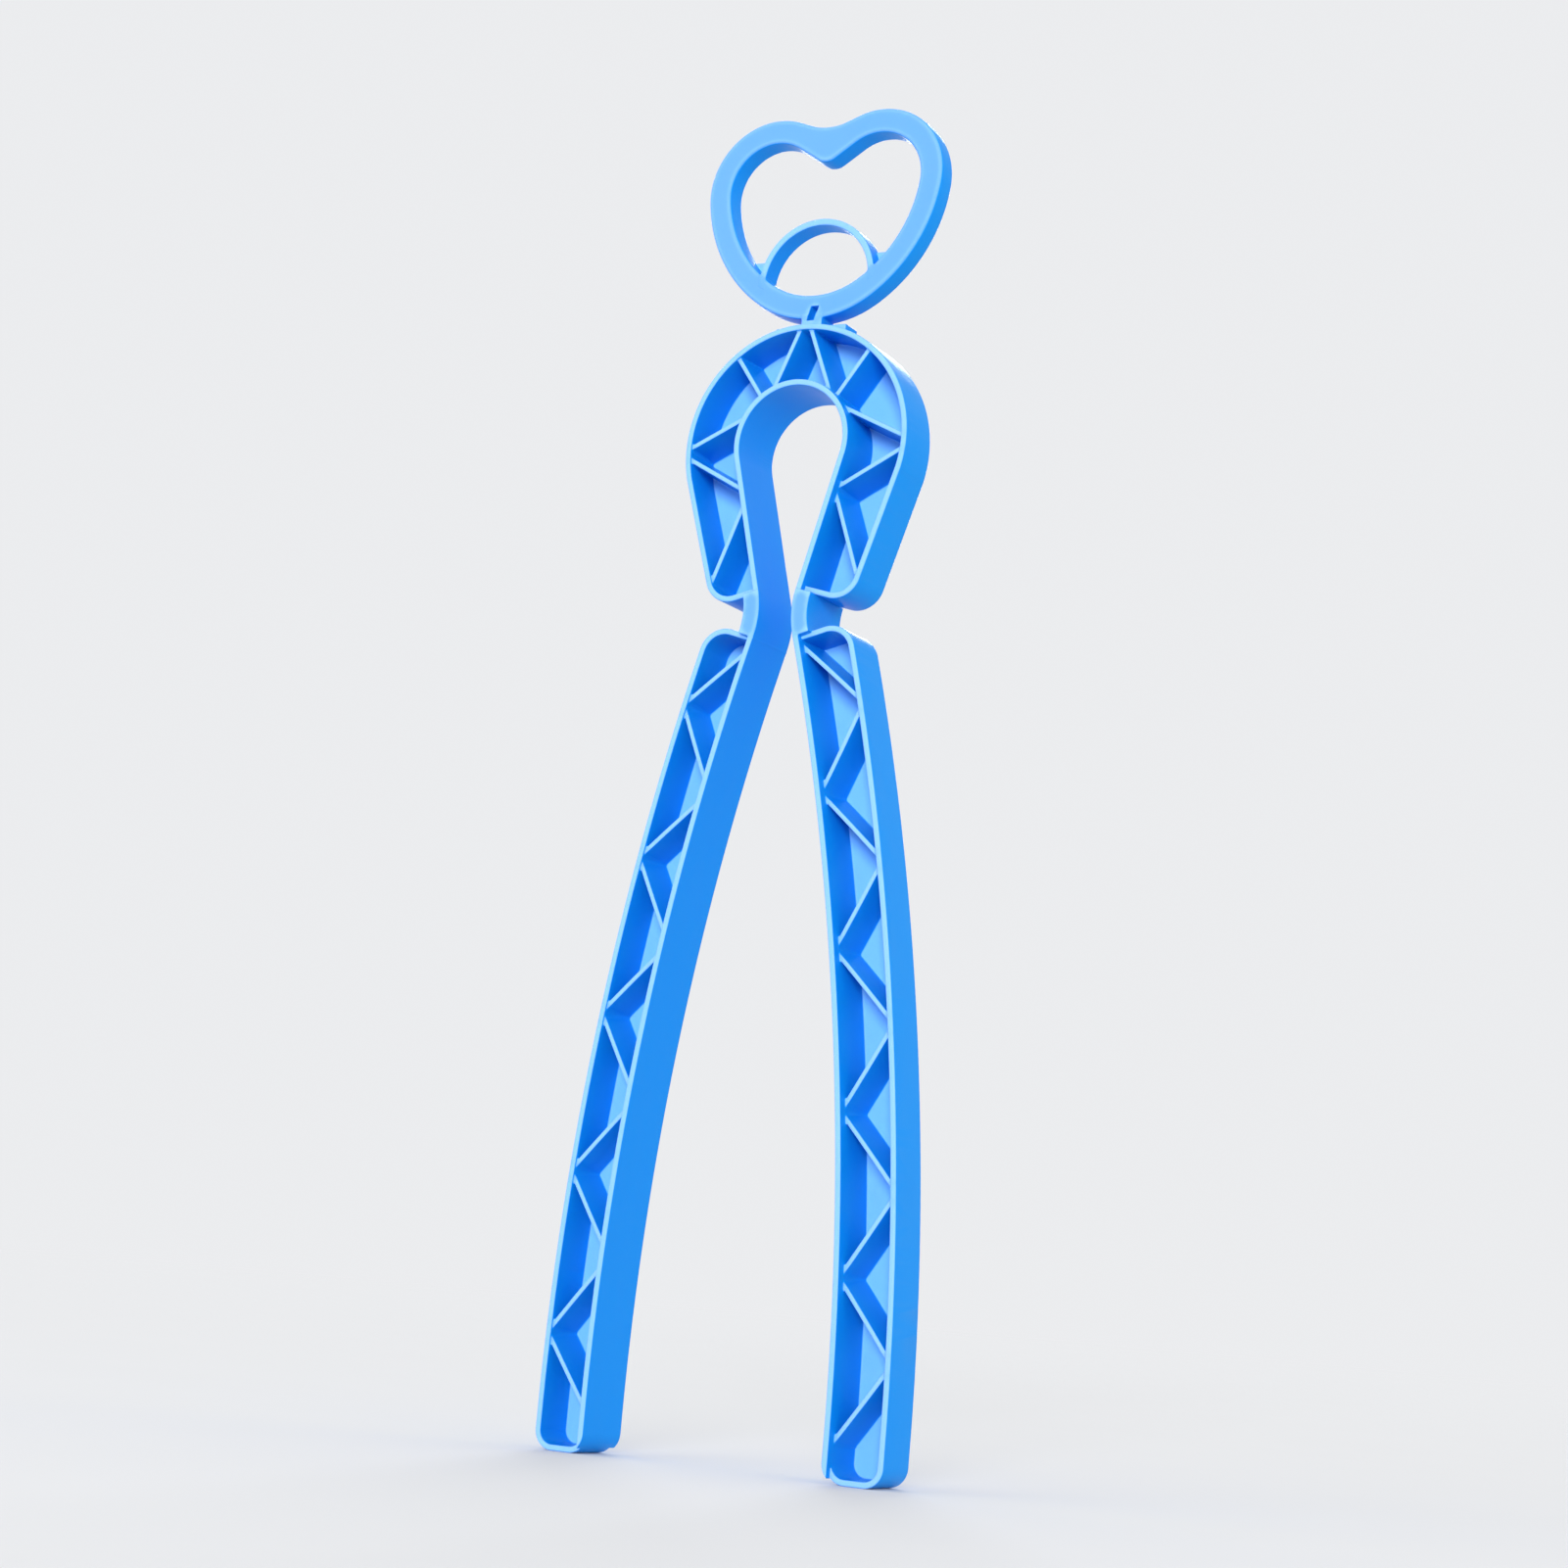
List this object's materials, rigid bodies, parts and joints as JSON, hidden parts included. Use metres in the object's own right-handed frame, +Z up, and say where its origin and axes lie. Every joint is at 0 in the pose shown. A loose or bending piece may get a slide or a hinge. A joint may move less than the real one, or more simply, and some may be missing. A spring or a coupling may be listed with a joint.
{
  "type": "boot shaper",
  "caption": "Sprung boot-shaft shaper: a heart handle on an omega-shaped ribbed crown, with two long curved channel legs that squeeze together and press the shaft open.",
  "frame": {"origin": "on the floor, midway between the two toes, in the middle of the depth", "axes": "+Z up along the shaper towards the heart, X across the spread of the legs, -Y the open front side of the channels"},
  "size_m": [0.0952, 0.0182, 0.3403],
  "materials": {
    "polypropylene": "satin sky-blue polypropylene, as moulded"
  },
  "bodies": {
    "handle_and_crown": {"heart_handle": "polypropylene", "crown_arch": "polypropylene", "left_flex_neck": "polypropylene", "right_flex_neck": "polypropylene"},
    "left_leg": {"left_leg": "polypropylene"},
    "right_leg": {"right_leg": "polypropylene"}
  },
  "joints": [
    {"name": "left_neck_flex", "type": "hinge", "parent": "handle_and_crown", "child": "left_leg", "pos_m": [-0.0068, 0, 0.2083], "axis": [0, -1, 0], "range_deg": [-2, 8.5], "stiffness_Nm_per_rad": 17, "deforming": ["left_flex_neck"]},
    {"name": "right_neck_flex", "type": "hinge", "parent": "handle_and_crown", "child": "right_leg", "pos_m": [0.0068, 0, 0.2083], "axis": [0, 1, 0], "range_deg": [-2, 8.5], "stiffness_Nm_per_rad": 17, "deforming": ["right_flex_neck"]}
  ]
}
